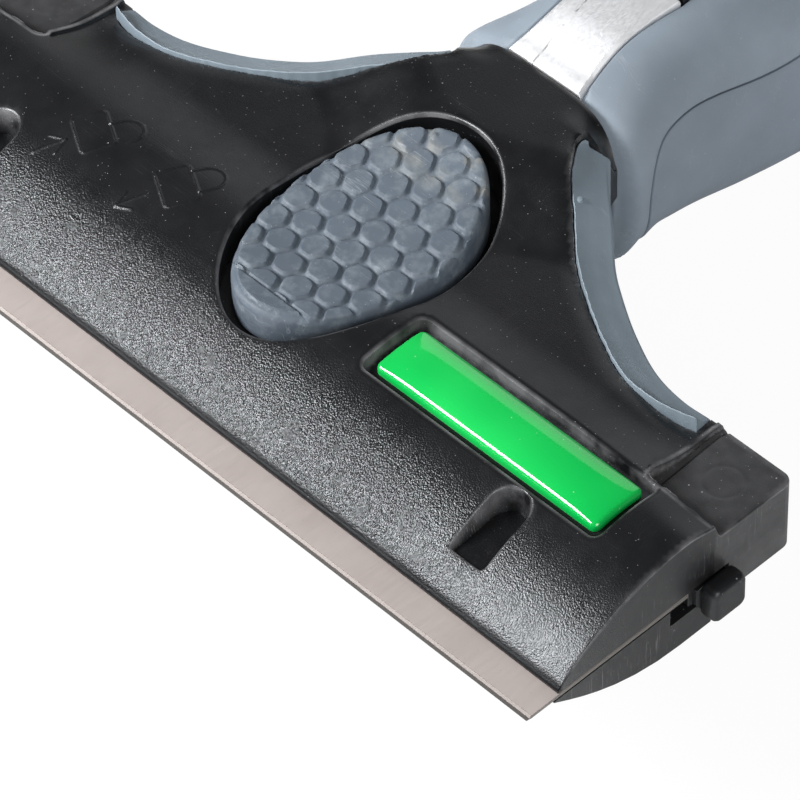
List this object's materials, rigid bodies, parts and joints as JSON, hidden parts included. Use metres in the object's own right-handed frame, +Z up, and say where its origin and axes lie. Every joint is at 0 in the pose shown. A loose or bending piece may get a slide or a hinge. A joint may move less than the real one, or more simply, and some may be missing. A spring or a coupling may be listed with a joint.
{
  "type": "hand scraper",
  "caption": "Hand scraper: wide steel blade clamped in a T-shaped black head, thumb button with a hexagon-patterned rubber pad, rubber-clad handle with a pole socket.",
  "frame": {"origin": "middle of the whole tool seen from above, on the surface that the handle lies on", "axes": "+X along the blade to the side with the badge, +Y from the cutting edge to the handle's open end, +Z up through the thumb button"},
  "size_m": [0.1046, 0.2214, 0.0312],
  "materials": {
    "shell_black": "fine grain, satin",
    "jaw_black": "satin, scuffed",
    "blade_steel": "rolled steel with a ground edge",
    "carriage_black": "matte",
    "plate_steel": "plain",
    "screw_steel": "plain",
    "button_black": "matte",
    "pad_rubber": "matte, dusty",
    "spring_steel": "drawn wire",
    "badge_green": "domed gloss",
    "flank_rubber": "matte, dusty",
    "core_black": "matte",
    "sleeve_rubber": "matte",
    "grip_rubber": "matte",
    "strip_metal": "satin",
    "insert_black": "matte",
    "collar_black": "satin"
  },
  "bodies": {
    "tool": {"upper_shell": "shell_black", "lower_shell": "jaw_black", "button_spring": "spring_steel", "badge": "badge_green", "left_flank_grip": "flank_rubber", "right_flank_grip": "flank_rubber", "shell_screw_front_right": "screw_steel", "shell_screw_rear_right": "screw_steel", "shell_screw_front_left": "screw_steel", "shell_screw_rear_left": "screw_steel", "handle_screw_right": "screw_steel", "handle_screw_left": "screw_steel", "handle_core": "core_black", "handle_sleeve": "sleeve_rubber", "main_grip": "grip_rubber", "spine_strip": "strip_metal", "spine_insert": "insert_black", "end_collar": "collar_black"},
    "button": {"thumb_button": "button_black", "thumb_pad": "pad_rubber", "clamp_plate": "plate_steel", "clamp_screw": "screw_steel"},
    "carriage": {"blade_carriage": "carriage_black"},
    "blade": {"blade": "blade_steel"}
  },
  "joints": [
    {"name": "button_press", "type": "slide", "parent": "tool", "child": "button", "axis": [0, 0, -1], "range_m": [0, 0.0015], "stiffness_N_per_m": 1500, "springref_m": -0.001, "deforming": ["button_spring"]},
    {"name": "carriage_slide", "type": "slide", "parent": "tool", "child": "carriage", "axis": [0, -1, 0], "range_m": [0, 0.0023]},
    {"name": "blade_slide", "type": "slide", "parent": "carriage", "child": "blade", "axis": [0, -1, 0], "range_m": [0, 0.017]}
  ]
}
